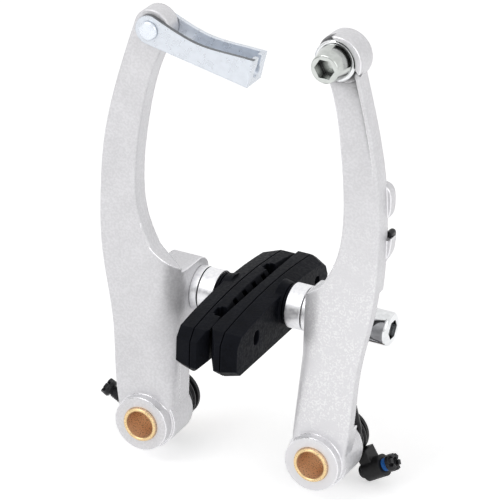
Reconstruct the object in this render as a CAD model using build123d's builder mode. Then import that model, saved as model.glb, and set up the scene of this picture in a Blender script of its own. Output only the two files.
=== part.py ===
import math
import os

from build123d import *

os.makedirs("parts", exist_ok=True)

# X to the right, Y towards the bicycle frame, Z up, millimetres.
# Depth is measured forwards from the frame plane: depth 10 is Y = -10.
# Sketch points on an arm are (outwards, up) from its pivot.

# Pivots
PIVOT_X = 26.5
LEAN = 2.1
STUD_R = 4.0
STUD_FIT = 0.05
BUSHING_R = 5.0
BUSHING_L = 25.0
PIVOT_FIT = 0.04

# Arm forging
ARM_FRONT = 21.5
ARM_T = 5.5
SKIN_T = 3.2
ARM_BACK = ARM_FRONT - ARM_T
SKIN_BACK = ARM_FRONT - SKIN_T
BOSS_R = 8.9
BOSS_RING_R = 8.1
BOSS_PROUD = 2.5
EDGE_ROUND = 0.6
TOP_X = 0.6
TOP_Z = 118.5
TOP_R = 5.4
TOP_LEAN = 19.5

# Slot housing for the pad post
POST_Z = 37.4
POST_DEPTH = 6.3
POST_R = 3.0
SLOT_GAP = 0.3
PAD_TRAVEL = 3.0
HOUSE_WALL = 2.5
HOUSE_IN = -8.2
HOUSE_OUT = 1.0
NOSE_R = 8.5
NOSE_LOW_R = 3.2
NOSE_LOW_Z = 6.0
NOSE_DROP = 6.0
CORE_IN = -7.5
CREASE_W = 0.8
CREASE_DEEP = 0.8
POCKET_LOW = 11.0
POCKET_TOP = 54.0

# Spring tabs
TAB_T = 2.6
TAB_ROOT = 12.0
TAB_SINK = 0.5
TIP_X = 15.5
TIP_Z = 70.1
TIP_GAP = 0.5

# Washer stack and nut
SEAT_GAP = 0.05
DISH_GAP = 0.3
WASHER_R = 6.4
WASHER_BORE_R = 3.25
CUP_T = 2.2
DOME_R = 11.0
INNER_STACK = 7.1
OUTER_STACK = 3.5
FLAT_T = 1.0
NUT_R = 4.9
NUT_L = 9.0
NUT_FLANGE_R = 5.5
NUT_FLANGE_T = 1.4
NUT_SOCKET = 5.0
NUT_SOCKET_DEPTH = 4.6
THREAD_GAP = 0.04

# Brake pad
FACE_GAP = 0.4
PAD_FRONT = 32.0
PAD_REAR = 24.5
PAD_REAR_ROUND = 4.5
PAD_HALF = 7.5
PAD_LIFT = -2.4
PAD_ARCH = 170.0
FACET_TOP = (2.4, 2.9)
FACET_LOW = (2.6, 2.4)
BLOCK_T = 4.0
BLOCK_CHAMFER = 4.0
PAD_CORNER = 2.4
PAD_CORNER_Y = 3.4
SEAM_W = 0.5
SEAM_DEEP = 0.35
BODY_CUT_FRONT = 1.0
BODY_CUT_REAR = 3.0
BODY_CUT_HALF = 0.9
PAD_BOSS_R = 7.0
PAD_LIP_R = 6.6
PAD_LIP_T = 2.0
GROOVE_W = 2.4
GROOVE_DEEP = 2.2
GROOVE_Y = (-19.6, -9.9, -0.1, 9.6)
HOLE_Y = (-19.3, 18.9)
HOLE_UP = 0.9
PLATE_L = 30.0
PLATE_H = 6.4
PLATE_T = 2.0

# Cable link
LINK_DROOP = 11.6
LINK_L = 30.9
LINK_R = 4.1
LINK_WAIST = 1.9
LINK_SHEET = 1.2
LINK_GAP = 0.2
WEB_START = 9.0
RIVET_R = 2.0
RIVET_FIT = 0.05
RIVET_HEAD_R = 2.6
RIVET_HEAD_T = 0.9
RIVET_PLAY = 0.1

# Cable anchor
ANCHOR_OUT = 0.1
ANCHOR_UP = 0.7
HEAD_RIM = 1.05
HEAD_OUT = 1.0
HEAD_UP = 0.4
SEAT_DEPTH = 20.4
ANCHOR_R = 3.0
ANCHOR_WASHER_R = 5.8
ANCHOR_WASHER_T = 2.4
ANCHOR_WASHER_GAP = 0.35
BOLT_HEAD_R = 5.0
BOLT_HEAD_L = 6.2
BOLT_TAPER = 10.0
BOLT_SOCKET = 5.0
BOLT_SOCKET_DEPTH = 3.6
LIP_DEPTH = 23.4
RIM_W = 1.1
RECESS_L = 24.0
RECESS_END = 6.5
RECESS_DEEP = 2.0

# Spring and its carrier
HUB_T = 0.4
WIRE_R = 0.9
COIL_PITCH = 1.9
COIL_TURNS = 2.25
COIL_GAP = 0.3
COIL_CLEAR = 0.6
LEG_RISE_Z = 6.0
LEG_BEND_Z = 22.0
LEG_BEND_OUT = -0.8
LEG_KNEE_X = 11.0
LEG_KNEE_Z = 54.0
LEG_GAP = 0.6
CARRIER_R = 7.2
CARRIER_BACK = 1.5
CARRIER_DISC = 1.2
SCREW_TILT = 30.0
SCREW_OFFSET = 12.2
SCREW_DEPTH = 4.6
SCREW_R = 1.9
SCREW_FIT = 0.05
SCREW_HEAD_R = 2.5
SCREW_HEAD_L = 3.4
LUG_R = 3.2
LUG_START = 2.5
LUG_END = 8.5
EAR_W = 6.0
EAR_END = 6.0
SCREW_START = 0.5
SCREW_NECK = 9.6
LEFT_BACKED_OFF = 5.6

# Derived positions
ARM_BORE_R = BUSHING_R + PIVOT_FIT
COIL_R = BUSHING_R + PIVOT_FIT + HUB_T + COIL_GAP + WIRE_R
COIL_BACK = CARRIER_BACK + CARRIER_DISC + WIRE_R
COIL_FRONT = COIL_BACK + COIL_PITCH * COIL_TURNS + WIRE_R
BOSS_BACK = COIL_FRONT + COIL_CLEAR
CORE_BACK = BOSS_BACK
BOSS_FRONT = ARM_FRONT + BOSS_PROUD
SLOT_W = 2 * (POST_R + SLOT_GAP)
SLOT_L = SLOT_W + 2 * PAD_TRAVEL
HOUSE_LOW = POST_Z - SLOT_L / 2 - HOUSE_WALL
HOUSE_TOP = POST_Z + SLOT_L / 2 + HOUSE_WALL
HOUSE_BACK = POST_DEPTH - SLOT_W / 2 - HOUSE_WALL
HOUSE_ROUND = SLOT_W / 2 + HOUSE_WALL - 0.2
TAB_BACK = ARM_BACK - TAB_T
PAD_BACK = HOUSE_IN - INNER_STACK
PAD_FACE = FACE_GAP - PIVOT_X
DOME_OUT = HOUSE_OUT + OUTER_STACK
NUT_START = DOME_OUT + FLAT_T
NUT_END = NUT_START + NUT_L
DISH_R = DOME_R + DISH_GAP
RECESS_TOP = TOP_Z - RECESS_END
RECESS_LOW = RECESS_TOP - RECESS_L
ANCHOR_X = TOP_X + ANCHOR_OUT
ANCHOR_Z = TOP_Z + ANCHOR_UP
HEAD_R = ANCHOR_WASHER_R + HEAD_RIM
HEAD_X = ANCHOR_X + HEAD_OUT
HEAD_Z = ANCHOR_Z + HEAD_UP


def face_at(depth, x=0.0, z=0.0):
    # Plane facing forwards at a depth, on the right arm
    return Plane(origin=(PIVOT_X + x, -depth, z), x_dir=(1, 0, 0), z_dir=(0, -1, 0))


def side_at(x):
    # Plane facing outwards on the right pad post, local axes Y and Z
    return Plane(origin=(PIVOT_X + x, -POST_DEPTH, POST_Z), x_dir=(0, 1, 0), z_dir=(1, 0, 0))


def around(angle, radius):
    # Point on the arm's rounded top
    turn = math.radians(TOP_LEAN + angle)
    return (TOP_X + radius * math.cos(turn), TOP_Z + radius * math.sin(turn))


# Arm forging without its top fittings
OUTER_EDGE = [
    (8.5, 3.0),
    (9.8, 13.0),
    (10.9, 28.5),
    (14.7, 50.0),
    (15.5, 68.0),
    (14.7, 83.0),
    (10.8, 102.6),
    around(0, TOP_R),
]
INNER_EDGE = [
    around(180, TOP_R),
    (0.8, 104.0),
    (3.3, 91.0),
    (4.6, 76.0),
    (2.6, 60.5),
    (-1.5, 52.0),
    (-5.5, 43.0),
    (-7.8, 28.0),
    (-8.3, 3.0),
]


def nose_corner(z, radius):
    # Waste outside a round on the inner front edge, as a level face
    x_in = PIVOT_X + HOUSE_IN
    x_tan = x_in + radius
    y_tan = radius - ARM_FRONT
    y_out = -ARM_FRONT - 2
    with BuildSketch(Plane.XY.offset(z)) as corner:
        with BuildLine():
            curve = RadiusArc((x_tan, -ARM_FRONT), (x_in, y_tan), radius)
            Polyline(curve @ 1, (x_in - 2, y_tan), (x_in - 2, y_out), (x_tan, y_out), curve @ 0)
        make_face()
    return corner.sketch


with BuildPart() as blank:
    with BuildSketch(face_at(ARM_BACK)):
        with BuildLine():
            Spline(*OUTER_EDGE)
            ThreePointArc(OUTER_EDGE[-1], around(90, TOP_R), INNER_EDGE[0])
            Spline(*INNER_EDGE)
            ThreePointArc(INNER_EDGE[-1], (0.0, -BOSS_RING_R), OUTER_EDGE[0])
        make_face()
    extrude(amount=ARM_T)
    fillet(blank.edges().group_by(Axis.Y)[0], EDGE_ROUND)
    # Inner nose that carries the front face over to the slot housing
    with BuildSketch(face_at(ARM_BACK)):
        with BuildLine():
            start = INNER_EDGE[4]
            nose = Spline(start, (0.0, HOUSE_TOP + 8.0), (-4.4, HOUSE_TOP + 3.8), (HOUSE_IN, HOUSE_TOP))
            drop = Line(nose @ 1, (HOUSE_IN, HOUSE_LOW - NOSE_DROP))
            Polyline(drop @ 1, (HOUSE_OUT, HOUSE_LOW - NOSE_DROP), (start[0] + ARM_T, start[1]), start)
        make_face()
    extrude(amount=ARM_T)
    # Slot housing and the core down to the boss
    with BuildSketch(face_at(HOUSE_BACK)):
        with Locations(((HOUSE_IN + HOUSE_OUT) / 2, (HOUSE_LOW + HOUSE_TOP) / 2)):
            Rectangle(HOUSE_OUT - HOUSE_IN, HOUSE_TOP - HOUSE_LOW)
    extrude(amount=ARM_FRONT - HOUSE_BACK)
    deep = blank.edges().filter_by(Axis.X).group_by(Axis.Y)[-1]
    fillet(deep, HOUSE_ROUND)
    with BuildSketch(face_at(CORE_BACK)):
        with Locations(((CORE_IN + HOUSE_OUT) / 2, (HOUSE_LOW + 2.0) / 2)):
            Rectangle(HOUSE_OUT - CORE_IN, HOUSE_LOW + 2.0)
    extrude(amount=ARM_FRONT - CORE_BACK)
    # Big round on the inner front edge of the nose, narrowing towards the boss
    wide = nose_corner(HOUSE_LOW, NOSE_R)
    narrow = nose_corner(NOSE_LOW_Z, NOSE_LOW_R)
    extrude(wide, amount=HOUSE_TOP - HOUSE_LOW + 14.0, mode=Mode.SUBTRACT)
    loft([narrow, wide], mode=Mode.SUBTRACT)
    extrude(narrow, amount=-NOSE_LOW_Z - 1.5 * BOSS_R, mode=Mode.SUBTRACT)
    # Crease between the front plate and the core
    with BuildSketch(face_at(ARM_BACK)):
        with Locations((CORE_IN, HOUSE_LOW / 2)):
            Rectangle(2 * CREASE_DEEP, HOUSE_LOW)
    extrude(amount=-CREASE_W, mode=Mode.SUBTRACT)
    # Pocket behind the outer edge that clears the washers and the nut
    with BuildSketch(face_at(0.0)):
        with Locations((HOUSE_OUT + 10.0, (POCKET_LOW + POCKET_TOP) / 2)):
            Rectangle(20.0, POCKET_TOP - POCKET_LOW)
    extrude(amount=SKIN_BACK, mode=Mode.SUBTRACT)
    # Spring tabs behind the outer edge
    with BuildSketch(face_at(TAB_BACK)):
        with BuildLine():
            lobe = Spline(
                (TIP_X - 3.1, TIP_Z + 14.4),
                (TIP_X - 0.1, TIP_Z + 13.3),
                (TIP_X + 0.65, TIP_Z + 9.5),
                (TIP_X + 0.3, TIP_Z + 5.9),
                (TIP_X - 1.35, TIP_Z + 3.7),
            )
            Polyline(lobe @ 1, (TAB_ROOT, TIP_Z + 3.7), (TAB_ROOT, TIP_Z + 14.4), lobe @ 0)
        make_face()
        with BuildLine():
            floor = TIP_Z - WIRE_R - TIP_GAP
            lip = Polyline(
                (TAB_ROOT, floor),
                (TIP_X + 0.7, floor),
                (TIP_X + 1.1, floor + 0.9),
                (TIP_X + 1.4, floor + 0.8),
            )
            tail = Spline(
                lip @ 1,
                (TIP_X + 1.3, floor - 0.7),
                (TIP_X + 0.9, floor - 3.7),
                (TIP_X - 0.4, floor - 6.4),
                (TIP_X - 1.8, floor - 8.8),
            )
            Polyline(tail @ 1, (TAB_ROOT, floor - 8.8), lip @ 0)
        make_face()
    extrude(amount=TAB_T + TAB_SINK)
    # Pivot boss
    with BuildSketch(face_at(BOSS_BACK)):
        Circle(BOSS_R)
    extrude(amount=ARM_FRONT - 1.0 - BOSS_BACK)
    with BuildSketch(face_at(BOSS_BACK)):
        Circle(BOSS_RING_R)
    extrude(amount=BOSS_FRONT - BOSS_BACK)
    with BuildSketch(face_at(BOSS_BACK - 1)):
        Circle(ARM_BORE_R)
    extrude(amount=BOSS_FRONT - BOSS_BACK + 2, mode=Mode.SUBTRACT)
    # Vertical slot for the pad post
    with BuildSketch(side_at(HOUSE_IN - 2)):
        SlotOverall(SLOT_L, SLOT_W, rotation=90)
    extrude(amount=HOUSE_OUT - HOUSE_IN + 4, mode=Mode.SUBTRACT)

# Left arm with the hole for the link rivet
with BuildPart() as left_arm:
    mirror(blank.part, about=Plane.YZ)
    with BuildSketch(face_at(ARM_BACK - 1)):
        with Locations((-2 * PIVOT_X - TOP_X, TOP_Z)):
            Circle(RIVET_R + RIVET_FIT)
    extrude(amount=ARM_T + 2, mode=Mode.SUBTRACT)

# Recess that deepens towards the right arm's top, inside a rim along the outer edge
with BuildPart() as top_recess:
    with BuildSketch(face_at(ARM_BACK)):
        with BuildLine():
            rim = Spline(*[(x - RIM_W, z) for x, z in OUTER_EDGE[-3:]])
            far = TOP_X - 4 * TOP_R
            high = TOP_Z + 3 * TOP_R
            Polyline(rim @ 1, ((rim @ 1).X, high), (far, high), (far, (rim @ 0).Y), rim @ 0)
        make_face()
    extrude(amount=2 * ARM_T)
    with BuildSketch(Plane.YZ.offset(PIVOT_X + far)):
        with BuildLine():
            Polyline(
                (-ARM_FRONT, RECESS_LOW),
                (RECESS_DEEP - ARM_FRONT, RECESS_TOP),
                (RECESS_DEEP - ARM_FRONT, high),
                (-ARM_FRONT - ARM_T, high),
                (-ARM_FRONT - ARM_T, RECESS_LOW),
                (-ARM_FRONT, RECESS_LOW),
            )
        make_face()
    extrude(amount=12 * TOP_R, mode=Mode.INTERSECT)

# Right arm with the cable anchor head
with BuildPart() as right_arm:
    add(blank.part)
    add(top_recess.part, mode=Mode.SUBTRACT)
    with BuildSketch(face_at(ARM_BACK, HEAD_X, HEAD_Z)):
        Circle(HEAD_R)
    extrude(amount=SEAT_DEPTH - ARM_BACK)
    with BuildSketch(face_at(SEAT_DEPTH, ANCHOR_X, ANCHOR_Z)):
        Circle(ANCHOR_WASHER_R + ANCHOR_WASHER_GAP)
    extrude(amount=5.0, mode=Mode.SUBTRACT)
    with BuildSketch(face_at(SEAT_DEPTH, ANCHOR_X, ANCHOR_Z)):
        with Locations((HEAD_OUT, HEAD_UP)):
            Circle(HEAD_R)
        Circle(ANCHOR_WASHER_R + ANCHOR_WASHER_GAP, mode=Mode.SUBTRACT)
        with BuildLine():
            Polyline((-9, -9), (9, -9), (9, -4), (-3, 9.5), (-9, 9.5), (-9, -9))
        make_face(mode=Mode.SUBTRACT)
    extrude(amount=LIP_DEPTH - SEAT_DEPTH)
    with BuildSketch(face_at(ARM_BACK - 1, ANCHOR_X, ANCHOR_Z)):
        Circle(ANCHOR_R + THREAD_GAP)
    extrude(amount=10.0, mode=Mode.SUBTRACT)

# Pivot bushing
with BuildPart() as right_pivot_bushing:
    with BuildSketch(face_at(0.0)):
        Circle(BUSHING_R)
        Circle(STUD_R + STUD_FIT, mode=Mode.SUBTRACT)
    extrude(amount=BUSHING_L)
    chamfer(right_pivot_bushing.edges().group_by(Axis.Y)[0], 0.3)

# Spring carrier
TILT = math.radians(SCREW_TILT)
FOOT = (SCREW_OFFSET * math.sin(TILT), -SCREW_OFFSET * math.cos(TILT))
EAR_ALONG = (LUG_START + EAR_END) / 2
EAR_OFF = SCREW_OFFSET - EAR_W / 2
EAR = (
    EAR_OFF * math.sin(TILT) + EAR_ALONG * math.cos(TILT),
    EAR_ALONG * math.sin(TILT) - EAR_OFF * math.cos(TILT),
)


def screw_at(travel):
    # Plane across the adjuster screw
    x = PIVOT_X + FOOT[0] + travel * math.cos(TILT)
    z = FOOT[1] + travel * math.sin(TILT)
    return Plane(origin=(x, -SCREW_DEPTH, z), x_dir=(0, 1, 0), z_dir=(math.cos(TILT), 0, math.sin(TILT)))


with BuildPart() as right_spring_carrier:
    with BuildSketch(face_at(CARRIER_BACK)):
        Circle(CARRIER_R)
    extrude(amount=CARRIER_DISC)
    with BuildSketch(screw_at(LUG_START)):
        Circle(LUG_R)
    extrude(amount=LUG_END - LUG_START)
    with BuildSketch(face_at(CARRIER_BACK, EAR[0], EAR[1])):
        Rectangle(EAR_END - LUG_START, EAR_W, rotation=SCREW_TILT)
    extrude(amount=SCREW_DEPTH + LUG_R - 1.2 - CARRIER_BACK)
    with BuildSketch(face_at(CARRIER_BACK + CARRIER_DISC)):
        Circle(COIL_R + WIRE_R + COIL_GAP)
    extrude(amount=BOSS_BACK, mode=Mode.SUBTRACT)
    with BuildSketch(face_at(CARRIER_BACK)):
        Circle(COIL_R - WIRE_R - COIL_GAP)
    extrude(amount=BOSS_BACK - SLOT_GAP - CARRIER_BACK)
    with BuildSketch(face_at(0.0)):
        Circle(BUSHING_R + PIVOT_FIT)
    extrude(amount=BOSS_BACK, mode=Mode.SUBTRACT)
    with BuildSketch(screw_at(0.0)):
        Circle(SCREW_R + SCREW_FIT)
    extrude(amount=LUG_END + 2, mode=Mode.SUBTRACT)

# Adjuster screw
with BuildPart() as right_adjuster_screw:
    with BuildSketch(screw_at(SCREW_START)):
        Circle(SCREW_R)
    extrude(amount=SCREW_NECK - SCREW_START)
    with BuildSketch(screw_at(SCREW_NECK)):
        Circle(SCREW_HEAD_R)
    extrude(amount=SCREW_HEAD_L)
    crown = right_adjuster_screw.faces().sort_by(Axis.X)[-1].edges()
    fillet(crown, 1.3)
    with BuildSketch(screw_at(SCREW_NECK + SCREW_HEAD_L - 1.0)):
        Rectangle(0.8, 6.0)
        Rectangle(6.0, 0.8)
    extrude(amount=2.0, mode=Mode.SUBTRACT)

# Return spring: coil round the carrier, leg up behind the arm, tip in the hook
with BuildPart() as right_return_spring:
    with BuildLine():
        coil = Helix(
            COIL_PITCH,
            COIL_PITCH * COIL_TURNS,
            COIL_R,
            center=(PIVOT_X, -COIL_BACK, 0),
            direction=(0, -1, 0),
        )
    with BuildSketch(Plane(origin=coil @ 0, z_dir=coil % 0)):
        Circle(WIRE_R)
    sweep(path=coil)
    with BuildLine():
        root = coil @ 1
        rise = root + (coil % 1) * LEG_RISE_Z
        tip_x = PIVOT_X + TIP_X
        bend_y = WIRE_R + LEG_GAP - ARM_BACK
        leg_y = WIRE_R + LEG_GAP - TAB_BACK
        leg = FilletPolyline(
            root,
            rise,
            (rise.X + LEG_BEND_OUT, bend_y, LEG_BEND_Z),
            (PIVOT_X + LEG_KNEE_X, leg_y, LEG_KNEE_Z),
            (tip_x, leg_y, TIP_Z),
            (tip_x, TIP_GAP - ARM_BACK, TIP_Z),
            radius=1.6,
        )
    with BuildSketch(Plane(origin=leg @ 0, z_dir=leg % 0)):
        Circle(WIRE_R)
    sweep(path=leg)


# Dished and domed washers, turned about the post axis
POST_AXIS = Axis((0, -POST_DEPTH, POST_Z), (1, 0, 0))
POST_SECTION = Plane(origin=(PIVOT_X, -POST_DEPTH, POST_Z), x_dir=(1, 0, 0), z_dir=(0, -1, 0))


def sag(radius, ball):
    # Drop of a ball's surface at a radius from the axis
    return ball - math.sqrt(ball**2 - radius**2)


def cup_section(seat, facing):
    # Half section of a dished washer: flat on the arm, dish facing the pad or the nut
    rim = seat + facing * CUP_T
    crest = rim - facing * sag(WASHER_R, DISH_R)
    low = crest + facing * sag(WASHER_BORE_R, DISH_R)
    mid_r = (WASHER_R + WASHER_BORE_R) / 2
    mid = crest + facing * sag(mid_r, DISH_R)
    with BuildSketch(POST_SECTION) as section:
        with BuildLine():
            Polyline((low, WASHER_BORE_R), (seat, WASHER_BORE_R), (seat, WASHER_R), (rim, WASHER_R))
            ThreePointArc((rim, WASHER_R), (mid, mid_r), (low, WASHER_BORE_R))
        make_face()
    return section.sketch


def dome_section(seat, facing, base):
    # Half section of a domed washer that sits in the dish of a cup
    crest = seat + facing * (CUP_T - sag(WASHER_R, DISH_R) + DISH_GAP)
    rim = crest + facing * sag(WASHER_R, DOME_R)
    low = crest + facing * sag(WASHER_BORE_R, DOME_R)
    mid_r = (WASHER_R + WASHER_BORE_R) / 2
    mid = crest + facing * sag(mid_r, DOME_R)
    with BuildSketch(POST_SECTION) as section:
        with BuildLine():
            Polyline((low, WASHER_BORE_R), (base, WASHER_BORE_R), (base, WASHER_R), (rim, WASHER_R))
            ThreePointArc((rim, WASHER_R), (mid, mid_r), (low, WASHER_BORE_R))
        make_face()
    return section.sketch


with BuildPart() as right_inner_cup_washer:
    add(cup_section(HOUSE_IN - SEAT_GAP, -1))
    revolve(axis=POST_AXIS)

with BuildPart() as right_inner_dome_washer:
    add(dome_section(HOUSE_IN - SEAT_GAP, -1, PAD_BACK))
    revolve(axis=POST_AXIS)

with BuildPart() as right_outer_cup_washer:
    add(cup_section(HOUSE_OUT + SEAT_GAP, 1))
    revolve(axis=POST_AXIS)

with BuildPart() as right_outer_dome_washer:
    add(dome_section(HOUSE_OUT + SEAT_GAP, 1, DOME_OUT))
    revolve(axis=POST_AXIS)

with BuildPart() as right_flat_washer:
    with BuildSketch(side_at(DOME_OUT)):
        Circle(WASHER_R)
        Circle(WASHER_BORE_R, mode=Mode.SUBTRACT)
    extrude(amount=FLAT_T)

# Barrel nut with a hexagon socket
with BuildPart() as right_pad_nut:
    with BuildSketch(side_at(NUT_START)):
        Circle(NUT_R)
    extrude(amount=NUT_L)
    fillet(right_pad_nut.edges().group_by(Axis.X)[-1], 1.1)
    with BuildSketch(side_at(NUT_START)):
        Circle(NUT_FLANGE_R)
    extrude(amount=NUT_FLANGE_T)
    with BuildSketch(side_at(NUT_END - NUT_SOCKET_DEPTH)):
        RegularPolygon(NUT_SOCKET / 2, 6, major_radius=False)
    extrude(amount=NUT_SOCKET_DEPTH, mode=Mode.SUBTRACT)
    with BuildSketch(side_at(NUT_START)):
        Circle(POST_R + THREAD_GAP)
    extrude(amount=NUT_L - NUT_SOCKET_DEPTH, mode=Mode.SUBTRACT)

# Post with its moulded-in plate
POST_END = NUT_END - NUT_SOCKET_DEPTH - 0.6
POST_START = PAD_BACK - 4.6
with BuildPart() as right_pad_post:
    with BuildSketch(side_at(POST_START)):
        RectangleRounded(PLATE_L, PLATE_H, 2.0)
    extrude(amount=PLATE_T)
    with BuildSketch(side_at(POST_START)):
        Circle(POST_R)
    extrude(amount=POST_END - POST_START)


def arch_z(y, half):
    # Height of the pad's arched upper edge, half above its middle line
    return math.sqrt((PAD_ARCH + half) ** 2 - y**2) + PAD_LIFT - PAD_ARCH


def pad_outline(x, front, rear, bulge, half):
    # Pad outline with an arched top and a faceted front end, as a face across the pad
    mid = (rear - front) / 2
    top_y = FACET_TOP[0] - front
    top = (top_y, arch_z(top_y, half))
    low = (FACET_LOW[0] - front, PAD_LIFT - half)
    rear_top = (rear, arch_z(rear, half))
    rear_low = (rear - bulge, PAD_LIFT - half)
    rear_mid = (rear + bulge, (rear_top[1] + rear_low[1]) / 2 + bulge / 4)
    with BuildSketch(side_at(x)) as outline:
        with BuildLine():
            ThreePointArc(top, (mid, arch_z(mid, half)), rear_top)
            ThreePointArc(rear_top, rear_mid, rear_low)
            Polyline(rear_low, low, (-front, low[1] + FACET_LOW[1]), (-front, top[1] - FACET_TOP[1]), top)
        make_face()
    return outline.sketch


# Brake pad: friction block, seam, tapered body, boss, grooves
BLOCK_END = PAD_FACE + BLOCK_T
BODY_START = BLOCK_END + SEAM_W
with BuildPart() as right_brake_pad:
    extrude(pad_outline(PAD_FACE, PAD_FRONT, PAD_REAR, PAD_REAR_ROUND, PAD_HALF), amount=BLOCK_T)
    with BuildSketch(Plane.XY.offset(POST_Z - 4 * PAD_HALF)):
        with BuildLine():
            nose_x = PIVOT_X + PAD_FACE
            nose_y = -POST_DEPTH - PAD_FRONT
            Polyline(
                (nose_x + PAD_CORNER, nose_y - 0.1),
                (nose_x - 0.1, nose_y + PAD_CORNER_Y),
                (nose_x - 0.1, nose_y - 0.1),
                (nose_x + PAD_CORNER, nose_y - 0.1),
            )
        make_face()
    extrude(amount=8 * PAD_HALF, mode=Mode.SUBTRACT)
    # Chamfer along the block's lower edge on the braking side
    with BuildSketch(Plane.XZ.offset(2 * PAD_FRONT)):
        with BuildLine():
            low_z = POST_Z + PAD_LIFT - PAD_HALF
            Polyline(
                (nose_x - 0.1, low_z + BLOCK_CHAMFER),
                (nose_x - 0.1, low_z - PAD_HALF),
                (nose_x + BLOCK_T, low_z - PAD_HALF),
                (nose_x + BLOCK_T, low_z),
                (nose_x - 0.1, low_z + BLOCK_CHAMFER),
            )
        make_face()
    extrude(amount=-4 * PAD_FRONT, mode=Mode.SUBTRACT)
    seam = pad_outline(
        BLOCK_END,
        PAD_FRONT - SEAM_DEEP,
        PAD_REAR,
        PAD_REAR_ROUND - SEAM_DEEP,
        PAD_HALF - SEAM_DEEP,
    )
    extrude(seam, amount=SEAM_W)
    body_front = pad_outline(BODY_START, PAD_FRONT, PAD_REAR, PAD_REAR_ROUND, PAD_HALF)
    body_back = pad_outline(
        PAD_BACK - PAD_LIP_T,
        PAD_FRONT - BODY_CUT_FRONT,
        PAD_REAR - BODY_CUT_REAR,
        PAD_REAR_ROUND,
        PAD_HALF - BODY_CUT_HALF,
    )
    loft([body_front, body_back])
    with BuildSketch(side_at(BODY_START)):
        Circle(PAD_BOSS_R)
    extrude(amount=PAD_BACK - BODY_START - PAD_LIP_T)
    with BuildSketch(side_at(PAD_BACK - PAD_LIP_T)):
        Circle(PAD_LIP_R)
    extrude(amount=PAD_LIP_T)
    with BuildSketch(side_at(PAD_FACE)):
        with Locations(*[(y, PAD_LIFT) for y in GROOVE_Y]):
            Rectangle(GROOVE_W, 4 * PAD_HALF)
    extrude(amount=GROOVE_DEEP, mode=Mode.SUBTRACT)
    with BuildSketch(side_at(PAD_BACK - PAD_LIP_T - 3.0)):
        with Locations(*[(y, PAD_LIFT + HOLE_UP) for y in HOLE_Y]):
            SlotOverall(4.6, 2.2, rotation=90)
    extrude(amount=6.0, mode=Mode.SUBTRACT)
    with BuildSketch(side_at(POST_START - THREAD_GAP)):
        RectangleRounded(PLATE_L + 2 * THREAD_GAP, PLATE_H + 2 * THREAD_GAP, 2.0)
    extrude(amount=PLATE_T + 2 * THREAD_GAP, mode=Mode.SUBTRACT)
    with BuildSketch(side_at(POST_START)):
        Circle(POST_R + THREAD_GAP)
    extrude(amount=10.0, mode=Mode.SUBTRACT)

# Cable link: stamped channel, open upwards, with a keyhole in its end wall
DROOP = math.radians(LINK_DROOP)
LINK_FRONT = ARM_FRONT + LINK_GAP
LINK_REAR = ARM_BACK - LINK_GAP - LINK_SHEET
LINK_WIDE = LINK_FRONT + LINK_SHEET - LINK_REAR


def link_at(depth):
    # Plane along the link with its origin on the rivet
    return Plane(
        origin=(-PIVOT_X - TOP_X, -depth, TOP_Z),
        x_dir=(math.cos(DROOP), 0, -math.sin(DROOP)),
        z_dir=(0, -1, 0),
    )


with BuildPart() as cable_link:
    with BuildSketch(link_at(LINK_REAR)):
        with BuildLine():
            upper = Spline((0, LINK_R), (6.0, LINK_WAIST + 1.0), (14.0, LINK_WAIST), (22.0, LINK_WAIST + 0.8), (LINK_L, LINK_R))
            end = Line(upper @ 1, (LINK_L, -LINK_R))
            under = Line(end @ 1, (0, -LINK_R))
            ThreePointArc(under @ 1, (-LINK_R, 0), upper @ 0)
        make_face()
    extrude(amount=LINK_WIDE)
    with BuildSketch(link_at(LINK_REAR + LINK_SHEET)):
        with BuildLine():
            Polyline(
                (-LINK_R - 1, -LINK_R - 1),
                (WEB_START, -LINK_R - 1),
                (WEB_START, LINK_SHEET - LINK_R),
                (LINK_L - LINK_SHEET, LINK_SHEET - LINK_R),
                (LINK_L - LINK_SHEET, LINK_R + 1),
                (-LINK_R - 1, LINK_R + 1),
                (-LINK_R - 1, -LINK_R - 1),
            )
        make_face()
    extrude(amount=LINK_WIDE - 2 * LINK_SHEET, mode=Mode.SUBTRACT)
    with BuildSketch(link_at(0)):
        Circle(RIVET_R + RIVET_FIT)
    extrude(amount=2 * ARM_FRONT, mode=Mode.SUBTRACT)
    middle = link_at((LINK_FRONT + LINK_SHEET + LINK_REAR) / 2)
    end_point = middle.from_local_coords((LINK_L - 3, -0.6, 0))
    with BuildSketch(Plane(origin=end_point, x_dir=(0, 1, 0), z_dir=middle.x_dir)):
        Circle(1.7)
        with Locations((0, 4.0)):
            Rectangle(1.8, 8.0)
    extrude(amount=6.0, mode=Mode.SUBTRACT)

with BuildPart() as link_rivet:
    with BuildSketch(link_at(LINK_REAR - RIVET_PLAY - RIVET_HEAD_T)):
        Circle(RIVET_R)
    extrude(amount=LINK_WIDE + 2 * (RIVET_PLAY + RIVET_HEAD_T))
    with BuildSketch(link_at(LINK_REAR - RIVET_PLAY - RIVET_HEAD_T)):
        Circle(RIVET_HEAD_R)
    extrude(amount=RIVET_HEAD_T)
    with BuildSketch(link_at(LINK_FRONT + LINK_SHEET + RIVET_PLAY)):
        Circle(RIVET_HEAD_R)
    extrude(amount=RIVET_HEAD_T)
    chamfer(link_rivet.edges().group_by(Axis.Y)[0], 0.3)

# Cable anchor bolt and washer
WASHER_FRONT = SEAT_DEPTH + ANCHOR_WASHER_T
with BuildPart() as anchor_washer:
    with BuildSketch(face_at(SEAT_DEPTH, ANCHOR_X, ANCHOR_Z)):
        Circle(ANCHOR_WASHER_R)
        Circle(ANCHOR_R + 0.2, mode=Mode.SUBTRACT)
    extrude(amount=ANCHOR_WASHER_T)
    chamfer(anchor_washer.edges().group_by(Axis.Y)[0].sort_by(SortBy.LENGTH)[-1], 0.4)

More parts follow.
